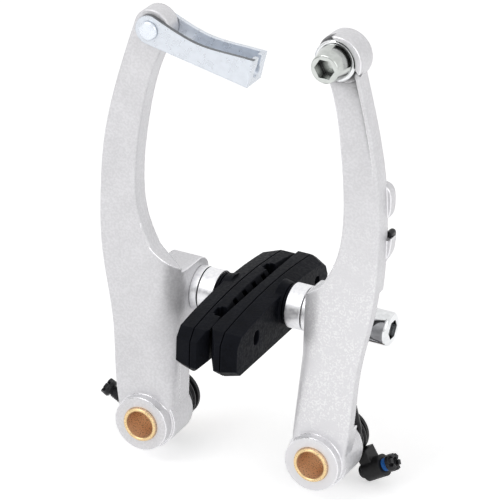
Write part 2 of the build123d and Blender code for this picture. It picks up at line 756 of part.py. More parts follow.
with BuildPart() as anchor_bolt:
    with BuildSketch(face_at(WASHER_FRONT, ANCHOR_X, ANCHOR_Z)):
        Circle(BOLT_HEAD_R)
    extrude(amount=BOLT_HEAD_L, taper=BOLT_TAPER)
    fillet(anchor_bolt.edges().group_by(Axis.Y)[0], 0.5)
    with BuildSketch(face_at(ARM_BACK + 0.2, ANCHOR_X, ANCHOR_Z)):
        Circle(ANCHOR_R)
    extrude(amount=WASHER_FRONT - ARM_BACK)
    with BuildSketch(face_at(WASHER_FRONT + BOLT_HEAD_L - BOLT_SOCKET_DEPTH, ANCHOR_X, ANCHOR_Z)):
        RegularPolygon(BOLT_SOCKET / 2, 6, major_radius=False)
    extrude(amount=BOLT_SOCKET_DEPTH + 1, mode=Mode.SUBTRACT)

# Left-hand pieces are mirror images
with BuildPart() as left_pivot_bushing:
    mirror(right_pivot_bushing.part, about=Plane.YZ)
with BuildPart() as left_spring_carrier:
    mirror(right_spring_carrier.part, about=Plane.YZ)
with BuildPart() as left_adjuster_screw:
    backed_off = (LEFT_BACKED_OFF * math.cos(TILT), 0, LEFT_BACKED_OFF * math.sin(TILT))
    mirror(right_adjuster_screw.part.translate(backed_off), about=Plane.YZ)
with BuildPart() as left_return_spring:
    mirror(right_return_spring.part, about=Plane.YZ)
with BuildPart() as left_inner_cup_washer:
    mirror(right_inner_cup_washer.part, about=Plane.YZ)
with BuildPart() as left_inner_dome_washer:
    mirror(right_inner_dome_washer.part, about=Plane.YZ)
with BuildPart() as left_outer_cup_washer:
    mirror(right_outer_cup_washer.part, about=Plane.YZ)
with BuildPart() as left_outer_dome_washer:
    mirror(right_outer_dome_washer.part, about=Plane.YZ)
with BuildPart() as left_flat_washer:
    mirror(right_flat_washer.part, about=Plane.YZ)
with BuildPart() as left_pad_nut:
    mirror(right_pad_nut.part, about=Plane.YZ)
with BuildPart() as left_pad_post:
    mirror(right_pad_post.part, about=Plane.YZ)
with BuildPart() as left_brake_pad:
    mirror(right_brake_pad.part, about=Plane.YZ)

PIECES = {
    "left_arm": left_arm,
    "right_arm": right_arm,
    "left_pivot_bushing": left_pivot_bushing,
    "right_pivot_bushing": right_pivot_bushing,
    "left_spring_carrier": left_spring_carrier,
    "right_spring_carrier": right_spring_carrier,
    "left_adjuster_screw": left_adjuster_screw,
    "right_adjuster_screw": right_adjuster_screw,
    "left_return_spring": left_return_spring,
    "right_return_spring": right_return_spring,
    "left_inner_cup_washer": left_inner_cup_washer,
    "right_inner_cup_washer": right_inner_cup_washer,
    "left_inner_dome_washer": left_inner_dome_washer,
    "right_inner_dome_washer": right_inner_dome_washer,
    "left_outer_cup_washer": left_outer_cup_washer,
    "right_outer_cup_washer": right_outer_cup_washer,
    "left_outer_dome_washer": left_outer_dome_washer,
    "right_outer_dome_washer": right_outer_dome_washer,
    "left_flat_washer": left_flat_washer,
    "right_flat_washer": right_flat_washer,
    "left_pad_nut": left_pad_nut,
    "right_pad_nut": right_pad_nut,
    "left_pad_post": left_pad_post,
    "right_pad_post": right_pad_post,
    "left_brake_pad": left_brake_pad,
    "right_brake_pad": right_brake_pad,
    "cable_link": cable_link,
    "link_rivet": link_rivet,
    "anchor_bolt": anchor_bolt,
    "anchor_washer": anchor_washer,
}
# The arms and all they carry lean to one side together; the pieces on the studs stay square
ON_STUDS = ("pivot_bushing", "spring_carrier", "adjuster_screw")
ON_LEFT = ("left_", "cable_link", "link_rivet")
for name, piece in PIECES.items():
    solid = piece.part
    if not name.endswith(ON_STUDS):
        pivot = -PIVOT_X if name.startswith(ON_LEFT) else PIVOT_X
        solid = solid.rotate(Axis((pivot, 0, 0), (0, 1, 0)), LEAN)
    solid.label = name
    export_step(solid, f"parts/{name}.step")
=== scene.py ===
import math

import bmesh
import bpy
from mathutils import Matrix, Vector


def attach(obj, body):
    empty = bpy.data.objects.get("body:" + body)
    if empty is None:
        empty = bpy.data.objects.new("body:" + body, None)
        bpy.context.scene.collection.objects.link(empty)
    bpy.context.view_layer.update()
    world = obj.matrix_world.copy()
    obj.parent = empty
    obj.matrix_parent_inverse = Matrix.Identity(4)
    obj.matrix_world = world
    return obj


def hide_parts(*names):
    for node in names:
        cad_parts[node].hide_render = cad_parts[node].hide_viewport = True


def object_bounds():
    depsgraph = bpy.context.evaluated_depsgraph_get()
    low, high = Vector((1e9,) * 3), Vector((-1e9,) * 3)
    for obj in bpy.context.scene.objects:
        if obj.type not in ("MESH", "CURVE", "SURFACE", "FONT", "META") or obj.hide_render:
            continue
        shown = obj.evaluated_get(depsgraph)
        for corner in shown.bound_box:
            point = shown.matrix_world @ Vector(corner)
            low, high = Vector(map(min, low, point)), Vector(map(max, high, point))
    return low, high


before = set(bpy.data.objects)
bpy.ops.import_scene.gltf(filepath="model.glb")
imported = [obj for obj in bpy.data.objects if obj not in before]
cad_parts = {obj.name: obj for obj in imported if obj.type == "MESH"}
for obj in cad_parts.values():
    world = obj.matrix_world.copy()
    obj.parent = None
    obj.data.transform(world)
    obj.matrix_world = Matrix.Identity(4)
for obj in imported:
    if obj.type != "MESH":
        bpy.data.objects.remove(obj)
CAD_BOX = [list(corner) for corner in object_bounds()]

bl_info = {
    "name": "Linear-pull rim brake",
    "version": (1, 0, 0),
    "blender": (4, 5, 0),
    "location": "View3D > Sidebar > Brake",
    "description": "Dresses the packed brake with its finishes and sets the studio stage",
    "category": "Object",
}

SIDES = ("left", "right")
SIGNS = (-1.0, 1.0)
WASHERS = ("inner_cup_washer", "inner_dome_washer", "outer_cup_washer", "outer_dome_washer", "flat_washer")

# Mesh building: lengths in millimetres
TO_METRES = Matrix.Scale(0.001, 4)
MERGE = 0.0001
NEAR = 0.001
FLAT_ANGLE = math.radians(0.3)
SHARP_ANGLE = math.radians(20.0)
TURN_STEPS = 64

# Places on the brake: lengths in millimetres
LEAN = math.radians(2.1)
PIVOT_X = 26.5
POST_DEPTH = 6.3
POST_Z = 37.4

# Adjuster screws: the foot's place from the pivot, then lengths and radii along the axis, in millimetres
SCREW_TILT = math.radians(30.0)
SCREW_OUT = 6.1
SCREW_DEPTH = 4.6
SCREW_DROP = 10.566
BACKED_OFF = (5.6, 0.0)
THREAD_START = 0.5
THREAD_PITCH = 0.6
THREAD_RINGS = 15
THREAD_ROOT = 1.6
THREAD_CREST = 1.9
SCREW_HEAD = ((9.5, 1.5), (9.9, 1.5), (9.9, 2.1), (10.3, 2.5), (11.3, 2.5), (11.3, 0.0))
TEETH = 6
TOOTH_PLACE = (11.8, 0.0, 1.8)
TOOTH_SIZE = (1.2, 1.4, 1.1)

# Brake pads: lengths in millimetres, places from the post's axis
PAD_ARCH = 178.0
ARCH_STATIONS = range(-27, 25, 7)
PAD_REAR = 29.0
REAR_END = ((24.5, 4.0), (27.4, 2.0), (PAD_REAR, -1.6), (28.1, -5.4), (24.9, -8.5))
REAR_LOW = 20.0
ARCH_DROP = 2.5
FACET_TOP = (2.4, 3.0)
FACET_LOW = (2.6, 2.4)
SLAB_TALL = 40.0
NOSE_CORNER = (2.4, 3.4)
BROW_IN = 0.7
BROW_DROP = 0.9
BROW_NORMAL = (-0.8, 0.0, 0.6)
BODY_CUT_FRONT = 1.0
BODY_CUT_REAR = 3.0
BODY_CUT_HALF = 0.9
HOLE_PLACES = (-19.3, 18.9)
HOLE_Z = -1.5
HOLE_HALF_WIDE = 1.7
HOLE_HALF_TALL = 2.2
HOLE_DEEP = 3.0
HOLE_ROUND = 0.95
LIP_SUNK = 2.0
LIP_FLARE = 0.5
LIP_GROOVE = (0.7, 1.1)
LIP_GROOVE_DEEP = 0.5
LIP_END = 11.2
LIP_TAPER = 0.2

# Notches in the left block's braking face: from, to and depth, in millimetres
NOTCHES = (
    (-21.9, -21.1, 2.2),
    (-21.1, -17.9, 3.0),
    (-17.9, -17.1, 2.2),
    (-13.2, -11.0, 1.1),
    (-7.4, -5.2, 1.1),
    (-1.6, 0.6, 1.1),
    (4.2, 6.4, 1.1),
    (8.2, 9.0, 2.2),
    (9.0, 12.2, 3.0),
    (12.2, 13.0, 2.2),
)

# Where finishes and painted shade start and end: lengths in metres
RAMP = 0.0002
PATCH_START = 0.0310
PATCH_END = 0.0330
GRAIN_START = (0.002, 0.014)
GRAIN_FADE = (0.04, 0.09)
WEDGE_SHADE_START = (0.088, 0.098)
NEAR_FLANGE = 0.0214
LINK_SLOPE = math.radians(13.7)

# Studio: lengths in metres, lamps in watts
LAMPS = (
    ("Key light", (-0.35, -0.55, 0.75), 2.4),
    ("Fill light", (0.75, -0.35, 0.45), 1.2),
)
LAMP_SIZE = 0.6
LAMP_AIM = Vector((0.0, -0.015, 0.06))
FLAG_AZIMUTH = math.radians(-26.5)
FLAG_DISTANCE = 1.2
FLAG_HEIGHT = 0.24
FLAG_SIZE = (1.4, 0.30)
FLOOR_SIZE = 12.0
FLOOR_DROP = 0.0005
PAPER_GLOW = 0.5
SKY_LIGHT = 0.55
SKY_SEEN = 1.0


# Settings


class BrakeFinishes(bpy.types.PropertyGroup):
    arm_silver: bpy.props.FloatVectorProperty(
        name="Arm silver",
        description="Tumbled aluminium of the two arms",
        default=(0.755, 0.75, 0.77),
        subtype="COLOR",
    )
    sparkle: bpy.props.FloatVectorProperty(
        name="Sparkle",
        description="Bright grains low on the right arm's face",
        default=(0.95, 0.95, 0.96),
        subtype="COLOR",
    )
    brass: bpy.props.FloatVectorProperty(
        name="Brass",
        description="Turned end of the pivot bushings",
        default=(0.92, 0.68, 0.36),
        subtype="COLOR",
    )
    bore_brown: bpy.props.FloatVectorProperty(
        name="Bore brown",
        description="Dull bore of the pivot bushings",
        default=(0.92, 0.66, 0.44),
        subtype="COLOR",
    )
    plastic: bpy.props.FloatVectorProperty(
        name="Plastic",
        description="Spring carriers",
        default=(0.010, 0.010, 0.011),
        subtype="COLOR",
    )
    spring_black: bpy.props.FloatVectorProperty(
        name="Spring black",
        description="Blacked spring wire and adjuster screws",
        default=(0.014, 0.014, 0.016),
        subtype="COLOR",
    )
    thread_blue: bpy.props.FloatVectorProperty(
        name="Thread blue",
        description="Locking patch on the adjuster screws' thread",
        default=(0.02, 0.16, 0.52),
        subtype="COLOR",
    )
    rubber: bpy.props.FloatVectorProperty(
        name="Rubber",
        description="Moulded brake pads",
        default=(0.0050, 0.0056, 0.0080),
        subtype="COLOR",
    )
    zinc: bpy.props.FloatVectorProperty(
        name="Zinc",
        description="Plated cable link and its rivet",
        default=(0.76, 0.80, 0.86),
        subtype="COLOR",
    )
    satin: bpy.props.FloatVectorProperty(
        name="Satin steel",
        description="Washers and pad posts",
        default=(0.94, 0.94, 0.97),
        subtype="COLOR",
    )
    chrome: bpy.props.FloatVectorProperty(
        name="Chrome",
        description="Pad nuts and anchor washer",
        default=(0.76, 0.77, 0.78),
        subtype="COLOR",
    )
    bolt: bpy.props.FloatVectorProperty(
        name="Bolt",
        description="Bright bolt of the cable anchor",
        default=(0.56, 0.58, 0.56),
        subtype="COLOR",
    )


class BrakePadShape(bpy.types.PropertyGroup):
    face: bpy.props.FloatProperty(
        name="Face",
        description="Half of the gap between the two blocks, in millimetres",
        default=0.4,
    )
    block: bpy.props.FloatProperty(
        name="Block",
        description="Thickness of the friction block, in millimetres",
        default=4.0,
    )
    seam: bpy.props.FloatProperty(
        name="Seam",
        description="Width and depth of the moulding seam, in millimetres",
        default=0.4,
    )
    body: bpy.props.FloatProperty(
        name="Body",
        description="Thickness of the tapered body, in millimetres",
        default=4.4,
    )
    lip: bpy.props.FloatProperty(
        name="Lip",
        description="Radius of the lip round the post, in millimetres",
        default=6.0,
    )
    front: bpy.props.FloatProperty(
        name="Front",
        description="Reach in front of the post, in millimetres",
        default=32.0,
    )
    low: bpy.props.FloatProperty(
        name="Low",
        description="Drop of the straight lower edge below the post, in millimetres",
        default=9.9,
    )
    top: bpy.props.FloatProperty(
        name="Top",
        description="Rise of the arched upper edge above the post, in millimetres",
        default=5.8,
    )
    uneven: bpy.props.FloatProperty(
        name="Uneven",
        description="Rise of the left pad and drop of the right one on its post, in millimetres",
        default=0.5,
    )


class BrakeStudio(bpy.types.PropertyGroup):
    azimuth: bpy.props.FloatProperty(
        name="Azimuth",
        description="Camera turn to the right of the brake's front",
        default=math.radians(26.5),
        subtype="ANGLE",
    )
    elevation: bpy.props.FloatProperty(
        name="Elevation",
        description="Camera height above the horizon",
        default=math.radians(25.0),
        subtype="ANGLE",
    )
    distance: bpy.props.FloatProperty(
        name="Distance",
        description="Camera distance from the point it looks at",
        default=0.9,
        unit="LENGTH",
    )
    lens: bpy.props.FloatProperty(
        name="Lens",
        description="Focal length for a 36 mm sensor, in millimetres",
        default=238.3,
    )
    aim: bpy.props.FloatVectorProperty(
        name="Aim",
        description="Point that the camera looks at",
        default=(0.00339, -0.01520, 0.05637),
        subtype="XYZ",
        unit="LENGTH",
    )
    paper: bpy.props.FloatVectorProperty(
        name="Paper",
        description="White floor under the brake",
        default=(0.86, 0.86, 0.86),
        subtype="COLOR",
    )


# Shader building


def place(tree, kind, **values):
    node = tree.nodes.new(kind)
    for key, value in values.items():
        setattr(node, key, value)
    return node


def new_group(name, inputs, outputs):
    group = bpy.data.node_groups.new(name, "ShaderNodeTree")
    for label, value in inputs.items():
        kind = "NodeSocketFloat" if isinstance(value, float) else "NodeSocketVector"
        socket = group.interface.new_socket(name=label, in_out="INPUT", socket_type=kind)
        socket.default_value = value
    for label, kind in outputs.items():
        group.interface.new_socket(name=label, in_out="OUTPUT", socket_type=kind)
    entry = place(group, "NodeGroupInput")
    end = place(group, "NodeGroupOutput")
    return group, entry, end


def ramp_between(group, value, low, high):
    ramp = place(group, "ShaderNodeMapRange", interpolation_type="SMOOTHSTEP")
    group.links.new(value, ramp.inputs["Value"])
    group.links.new(low, ramp.inputs["From Min"])
    group.links.new(high, ramp.inputs["From Max"])
    return ramp.outputs["Result"]


def speckle_group():
    inputs = {"Scale": 2000.0, "Low": 0.4, "High": 0.6}
    outputs = {"Mask": "NodeSocketFloat", "Height": "NodeSocketFloat"}
    group, entry, end = new_group("Speckle", inputs, outputs)
    coords = place(group, "ShaderNodeTexCoord")
    noise = place(group, "ShaderNodeTexNoise")
    noise.inputs["Detail"].default_value = 4.0
    group.links.new(coords.outputs["Object"], noise.inputs["Vector"])
    group.links.new(entry.outputs["Scale"], noise.inputs["Scale"])
    mask = ramp_between(group, noise.outputs["Fac"], entry.outputs["Low"], entry.outputs["High"])
    group.links.new(mask, end.inputs["Mask"])
    group.links.new(noise.outputs["Fac"], end.inputs["Height"])


def edge_group():
    inputs = {"Radius": 0.0005, "Low": 0.01, "High": 0.1}
    outputs = {"Mask": "NodeSocketFloat", "Normal": "NodeSocketVector"}
    group, entry, end = new_group("Rounded edge", inputs, outputs)
    bevel = place(group, "ShaderNodeBevel", samples=8)
    surface = place(group, "ShaderNodeNewGeometry")
    dot = place(group, "ShaderNodeVectorMath", operation="DOT_PRODUCT")
    bend = place(group, "ShaderNodeMath", operation="SUBTRACT")
    bend.inputs[0].default_value = 1.0
    group.links.new(entry.outputs["Radius"], bevel.inputs["Radius"])
    group.links.new(bevel.outputs["Normal"], dot.inputs[0])
    group.links.new(surface.outputs["Normal"], dot.inputs[1])
    group.links.new(dot.outputs["Value"], bend.inputs[1])
    mask = ramp_between(group, bend.outputs["Value"], entry.outputs["Low"], entry.outputs["High"])
    group.links.new(mask, end.inputs["Mask"])
    group.links.new(bevel.outputs["Normal"], end.inputs["Normal"])


# Painted shade: ambient occlusion mask that darkens colour in corners, creases and gaps between parts
def painted_shade_group():
    inputs = {"Distance": 0.002, "Low": 0.35, "High": 0.75}
    group, entry, end = new_group("Crevice shade", inputs, {"Mask": "NodeSocketFloat"})
    shadow = place(group, "ShaderNodeAmbientOcclusion", samples=8)
    closed = place(group, "ShaderNodeMath", operation="SUBTRACT")
    closed.inputs[0].default_value = 1.0
    group.links.new(entry.outputs["Distance"], shadow.inputs["Distance"])
    group.links.new(shadow.outputs["AO"], closed.inputs[1])
    mask = ramp_between(group, closed.outputs["Value"], entry.outputs["Low"], entry.outputs["High"])
    group.links.new(mask, end.inputs["Mask"])


def direction_group(name, source, direction, low, high):
    # Mask of how far a place or a normal reaches along a direction
    inputs = {"Direction": direction, "Low": low, "High": high}
    group, entry, end = new_group(name, inputs, {"Mask": "NodeSocketFloat"})
    coords = place(group, "ShaderNodeTexCoord")
    dot = place(group, "ShaderNodeVectorMath", operation="DOT_PRODUCT")
    group.links.new(coords.outputs[source], dot.inputs[0])
    group.links.new(entry.outputs["Direction"], dot.inputs[1])
    mask = ramp_between(group, dot.outputs["Value"], entry.outputs["Low"], entry.outputs["High"])
    group.links.new(mask, end.inputs["Mask"])


class Finish:
    """One material with its shader, ready for groups and mixes."""

    def __init__(self, name, metallic, roughness):
        self.material = bpy.data.materials.new(name)
        self.material.use_nodes = True
        self.tree = self.material.node_tree
        self.shader = self.tree.nodes["Principled BSDF"]
        self.shader.inputs["Metallic"].default_value = metallic
        self.shader.inputs["Roughness"].default_value = roughness

    def link(self, source, target):
        self.tree.links.new(source, target)

    def effect(self, name, **values):
        node = place(self.tree, "ShaderNodeGroup", node_tree=bpy.data.node_groups[name])
        for key, value in values.items():
            node.inputs[key].default_value = value
        return node

    def mix(self, mask, low, high, into):
        node = place(self.tree, "ShaderNodeMix", data_type="RGBA")
        self.link(mask, node.inputs["Factor"])
        for socket, value in ((node.inputs["A"], low), (node.inputs["B"], high)):
            if hasattr(value, "is_linked"):
                self.link(value, socket)
            else:
                socket.default_value = (*value, 1.0)
        if into:
            self.link(node.outputs["Result"], self.shader.inputs[into])
        return node.outputs["Result"]

    def span(self, mask, low, high, into):
        node = place(self.tree, "ShaderNodeMapRange")
        node.inputs["To Min"].default_value = low
        node.inputs["To Max"].default_value = high
        self.link(mask, node.inputs["Value"])
        self.link(node.outputs["Result"], self.shader.inputs[into])
        return node.outputs["Result"]

    def blend(self, mask, low, high, into):
        node = place(self.tree, "ShaderNodeMix", data_type="FLOAT")
        self.link(mask, node.inputs["Factor"])
        self.link(low, node.inputs["A"])
        node.inputs["B"].default_value = high
        self.link(node.outputs["Result"], self.shader.inputs[into])

    def both_of(self, first, second):
        node = place(self.tree, "ShaderNodeMath", operation="MULTIPLY")
        self.link(first, node.inputs[0])
        self.link(second, node.inputs[1])
        return node.outputs["Value"]

    def bump(self, height, strength, distance, edge=None):
        node = place(self.tree, "ShaderNodeBump")
        node.inputs["Strength"].default_value = strength
        node.inputs["Distance"].default_value = distance
        self.link(height, node.inputs["Height"])
        if edge:
            self.link(edge.outputs["Normal"], node.inputs["Normal"])
        self.link(node.outputs["Normal"], self.shader.inputs["Normal"])


def shade(colour, factor):
    return tuple(min(1.0, channel * factor) for channel in colour)


def metal_finish(name, colour, metallic, roughness, grain, crevice_shade):
    finish = Finish(name, metallic, roughness)
    speckle = finish.effect("Speckle", Scale=grain, Low=0.35, High=0.65)
    edge = finish.effect("Rounded edge", Radius=0.0003)
    dark = finish.effect("Crevice shade", **crevice_shade)
    base = finish.mix(speckle.outputs["Mask"], shade(colour, 0.95), shade(colour, 1.05), None)
    # Painted shade: the colour darkens towards black in corners and creases
    finish.mix(dark.outputs["Mask"], base, shade(colour, 0.06), "Base Color")
    finish.span(speckle.outputs["Mask"], roughness * 0.85, roughness * 1.2, "Roughness")
    finish.bump(speckle.outputs["Height"], strength=0.15, distance=0.00002, edge=edge)
    return finish


def black_finish(name, colour, metallic, roughness, grain, depth):
    finish = Finish(name, metallic, roughness)
    finish.shader.inputs["Specular IOR Level"].default_value = 0.25
    speckle = finish.effect("Speckle", Scale=grain, Low=0.35, High=0.65)
    edge = finish.effect("Rounded edge", Radius=0.0004)
    base = finish.mix(speckle.outputs["Mask"], shade(colour, 0.7), shade(colour, 1.3), None)
    # Edges lighter: partly wear, partly a painted highlight
    finish.mix(edge.outputs["Mask"], base, shade(colour, 2.2), "Base Color")
    finish.span(speckle.outputs["Mask"], roughness * 0.85, roughness * 1.2, "Roughness")
    finish.bump(speckle.outputs["Height"], strength=0.4, distance=depth, edge=edge)
    return finish


# Shape building


def outline_planes(shape):
    # Planes round a pad's outline: arched top, rounded rear end, straight bottom, faceted front
    planes = []
    for y in ARCH_STATIONS:
        rise = math.sqrt(1 - (y / PAD_ARCH) ** 2)
        planes.append(((0.0, y, shape.top + PAD_ARCH * (rise - 1)), (0.0, y / PAD_ARCH, rise)))
    front_top = shape.top - ARCH_DROP
    corners = [
        *REAR_END,
        (REAR_LOW, -shape.low),
        (FACET_LOW[0] - shape.front, -shape.low),
        (-shape.front, FACET_LOW[1] - shape.low),
        (-shape.front, front_top - FACET_TOP[1]),
        (FACET_TOP[0] - shape.front, front_top),
    ]
    for (y0, z0), (y1, z1) in zip(corners, corners[1:]):
        run, drop = y1 - y0, z1 - z0
        length = math.hypot(run, drop)
        planes.append(((0.0, y0, z0), (0.0, -drop / length, run / length)))
    return planes


def cut(piece, point, normal, **values):
    geometry = piece.verts[:] + piece.edges[:] + piece.faces[:]
    made = bmesh.ops.bisect_plane(piece, geom=geometry, plane_co=point, plane_no=normal, **values)
    return [item for item in made["geom_cut"] if isinstance(item, bmesh.types.BMEdge)]


def slab(across, along, planes):
    # Block between two depths and two lengths, cut back by planes
    piece = bmesh.new()
    centre = Vector((sum(across) / 2, sum(along) / 2, 0.0))
    size = (across[1] - across[0], along[1] - along[0], SLAB_TALL, 1.0)
    fit = Matrix.Translation(centre) @ Matrix.Diagonal(size)
    bmesh.ops.create_cube(piece, size=1.0, matrix=fit)
    for point, normal in planes:
        rim = cut(piece, point, normal, clear_outer=True)
        if rim:
            bmesh.ops.holes_fill(piece, edges=rim, sides=0)
    return piece


def tidy_flats(piece):
    bmesh.ops.dissolve_limit(
        piece,
        angle_limit=FLAT_ANGLE,
        verts=piece.verts[:],
        edges=piece.edges[:],
    )


def grow(piece, face, step, reach):
    # Extrude a face outwards by step and stretch it to reach, (low y, high y, low z, high z)
    end = bmesh.ops.extrude_discrete_faces(piece, faces=[face])["faces"][0]
    ys = [vert.co.y for vert in end.verts]
    zs = [vert.co.z for vert in end.verts]
    for vert in end.verts:
        along = (vert.co.y - min(ys)) / (max(ys) - min(ys))
        up = (vert.co.z - min(zs)) / (max(zs) - min(zs))
        vert.co.x += step
        vert.co.y = reach[0] + along * (reach[1] - reach[0])
        vert.co.z = reach[2] + up * (reach[3] - reach[2])
    return end


def notch(piece, face, spans):
    # Steps cut through the braking face, each from y0 to y1 and depth deep
    for y in sorted({y for span in spans for y in span[:2]}):
        cut(piece, (0.0, y, 0.0), (0.0, 1.0, 0.0))
    for depth in sorted({span[2] for span in spans}):
        cut(piece, (face + depth, 0.0, 0.0), (1.0, 0.0, 0.0))
    for y0, y1, depth in spans:
        gone = []
        for side in piece.faces:
            middle = side.calc_center_median()
            if y0 < middle.y < y1 and middle.x < face + depth - NEAR:
                gone.append(side)
        bmesh.ops.delete(piece, geom=gone, context="FACES")
    for y0, y1, depth in spans:
        rim = []
        for edge in piece.edges:
            ends = [vert.co for vert in edge.verts]
            level = all(abs(end.x - face - depth) < NEAR for end in ends)
            inside = all(y0 - NEAR < end.y < y1 + NEAR for end in ends)
            if edge.is_boundary and level and inside:
                rim.append(edge)
        bmesh.ops.bridge_loops(piece, edges=rim)
    rims = [edge for edge in piece.edges if edge.is_boundary]
    bmesh.ops.holes_fill(piece, edges=rims, sides=0)


def sink(piece, x, y):
    # Round-ended hole sunk into the face at x
    for side_y in (y - HOLE_HALF_WIDE, y + HOLE_HALF_WIDE):
        cut(piece, (x, side_y, HOLE_Z), (0.0, 1.0, 0.0))
    for end_z in (HOLE_Z - HOLE_HALF_TALL, HOLE_Z + HOLE_HALF_TALL):
        cut(piece, (x, y, end_z), (0.0, 0.0, 1.0))
    spot = Vector((x, y, HOLE_Z))
    face = min(piece.faces, key=lambda side: (side.calc_center_median() - spot).length)
    floor = bmesh.ops.extrude_discrete_faces(piece, faces=[face])["faces"][0]
    walls = [edge for vert in floor.verts for edge in vert.link_edges if edge not in floor.edges[:]]
    bmesh.ops.translate(piece, verts=floor.verts[:], vec=(-HOLE_DEEP, 0.0, 0.0))
    bmesh.ops.bevel(
        piece,
        geom=walls,
        offset=HOLE_HALF_WIDE * HOLE_ROUND,
        offset_type="OFFSET",
        affect="EDGES",
        segments=4,
        profile=0.5,
        material=-1,
    )


def turn(piece, profile):
    # Revolve a profile of (x, radius) points round the X axis
    verts = [piece.verts.new((x, 0.0, radius)) for x, radius in profile]
    edges = [piece.edges.new(pair) for pair in zip(verts, verts[1:])]
    bmesh.ops.spin(
        piece,
        geom=verts + edges,
        cent=(0.0, 0.0, 0.0),
        axis=(1.0, 0.0, 0.0),
        angle=2 * math.pi,
        steps=TURN_STEPS,
        use_merge=True,
    )


def weld(piece):
    # Merge doubled points and drop the edges that this leaves without faces
    bmesh.ops.remove_doubles(piece, verts=piece.verts[:], dist=MERGE)
    wires = [edge for edge in piece.edges if edge.is_wire]
    bmesh.ops.delete(piece, geom=wires, context="EDGES")


def settle(piece, seat):
    # Move a piece to its seat, in metres, with its faces turned outwards
    piece.transform(TO_METRES @ seat)
    piece.normal_update()
    bmesh.ops.recalc_face_normals(piece, faces=piece.faces[:])


def show(name, shape, finish):
    mesh = bpy.data.meshes.new(name)
    shape.to_mesh(mesh)
    shape.free()
    mesh.polygons.foreach_set("use_smooth", [True] * len(mesh.polygons))
    mesh.set_sharp_from_angle(angle=SHARP_ANGLE)
    mesh.materials.append(finish.material)
    piece = bpy.data.objects.new(name, mesh)
    bpy.context.scene.collection.objects.link(piece)
    return piece


def dress(material, *names):
    for name in names:
        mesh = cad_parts[name].data
        mesh.materials.clear()
        mesh.materials.append(material)


def both(*names):
    return [f"{side}_{name}" for side in SIDES for name in names]


# Operators


class BRAKE_OT_arms(bpy.types.Operator):
    """Tumbled silver on both arms, with bright grains low on the right one"""

    bl_idname = "brake.arms"
    bl_label = "Arms"

    def execute(self, context):
        colours = context.scene.brake_finishes
        for side in SIDES:
            finish = self.tumbled(f"arm_silver_{side}", colours, side == "right")
            dress(finish.material, f"{side}_arm")
        return {"FINISHED"}

    def tumbled(self, name, colours, grainy):
        colour = colours.arm_silver
        finish = Finish(name, metallic=0.4, roughness=0.42)
        fine = finish.effect("Speckle", Scale=1500.0, Low=0.38, High=0.66)
        broad = finish.effect("Speckle", Scale=170.0, Low=0.3, High=0.7)
        edge = finish.effect("Rounded edge", Radius=0.0007)
        dark = finish.effect("Crevice shade", Distance=0.0025, Low=0.45, High=0.95)
        pale = finish.mix(fine.outputs["Mask"], shade(colour, 0.93), shade(colour, 1.04), None)
        soft = finish.mix(fine.outputs["Mask"], shade(colour, 0.98), shade(colour, 1.1), None)
        base = finish.mix(broad.outputs["Mask"], pale, soft, None)
        if grainy:
            grain = finish.effect("Speckle", Scale=1800.0, Low=0.53, High=0.57)
            clump = finish.effect("Speckle", Scale=130.0, Low=0.30, High=0.50)
            down = (0.0, 0.0, -1.0)
            low = finish.effect("Along", Direction=down, Low=-GRAIN_FADE[1], High=-GRAIN_FADE[0])
            above = finish.effect("Along", Low=GRAIN_START[0], High=GRAIN_START[1])
            front = finish.effect("Facing", Low=0.6, High=0.9)
            pale_part = finish.both_of(low.outputs["Mask"], front.outputs["Mask"])
            base = finish.mix(pale_part, base, shade(colour, 1.10), None)
            grainy_part = finish.both_of(pale_part, above.outputs["Mask"])
            dense = finish.both_of(grainy_part, clump.outputs["Mask"])
            grains = finish.both_of(dense, grain.outputs["Mask"])
            base = finish.mix(grains, base, colours.sparkle, None)
        # Edges lighter: partly wear, partly a painted highlight
        edge_wear_and_highlight = finish.mix(edge.outputs["Mask"], base, shade(colour, 1.15), None)
        # Painted shade: the colour darkens in corners and creases
        shaded = finish.mix(dark.outputs["Mask"], edge_wear_and_highlight, shade(colour, 0.3), "Base Color")
        if grainy:
            # Painted shade: a dark wedge in the recess below the anchor washer at the top of the right arm
            recess_shade = finish.effect("Crevice shade", Distance=0.006, Low=0.14, High=0.46)
            top = finish.effect("Along", Low=WEDGE_SHADE_START[0], High=WEDGE_SHADE_START[1])
            wedge_shade = finish.both_of(recess_shade.outputs["Mask"], top.outputs["Mask"])
            finish.mix(wedge_shade, shaded, shade(colour, 0.12), "Base Color")
        rough = finish.span(fine.outputs["Mask"], 0.36, 0.5, "Roughness")
        finish.blend(edge.outputs["Mask"], rough, 0.14, "Roughness")
        finish.span(edge.outputs["Mask"], 0.4, 1.0, "Metallic")
        finish.bump(fine.outputs["Height"], strength=0.3, distance=0.00015, edge=edge)
        return finish


class BRAKE_OT_bushings(bpy.types.Operator):
    """Turned brass on the pivot bushings, bright end and dull bore"""

    bl_idname = "brake.bushings"
    bl_label = "Bushings"

    def execute(self, context):
        colours = context.scene.brake_finishes
        finish = Finish("bushing_brass", metallic=0.6, roughness=0.3)
        speckle = finish.effect("Speckle", Scale=2600.0, Low=0.35, High=0.65)
        front = finish.effect("Facing", Low=0.2, High=0.5)
        edge = finish.effect("Rounded edge", Radius=0.0003)
        bore, end = colours.bore_brown, colours.brass
        base = finish.mix(front.outputs["Mask"], bore, end, None)
        dull = finish.mix(front.outputs["Mask"], shade(bore, 0.95), shade(end, 0.96), None)
        finish.mix(speckle.outputs["Mask"], dull, base, "Base Color")
        finish.span(speckle.outputs["Mask"], 0.26, 0.36, "Roughness")
        finish.bump(speckle.outputs["Height"], strength=0.1, distance=0.00002, edge=edge)
        dress(finish.material, *both("pivot_bushing"))
        return {"FINISHED"}


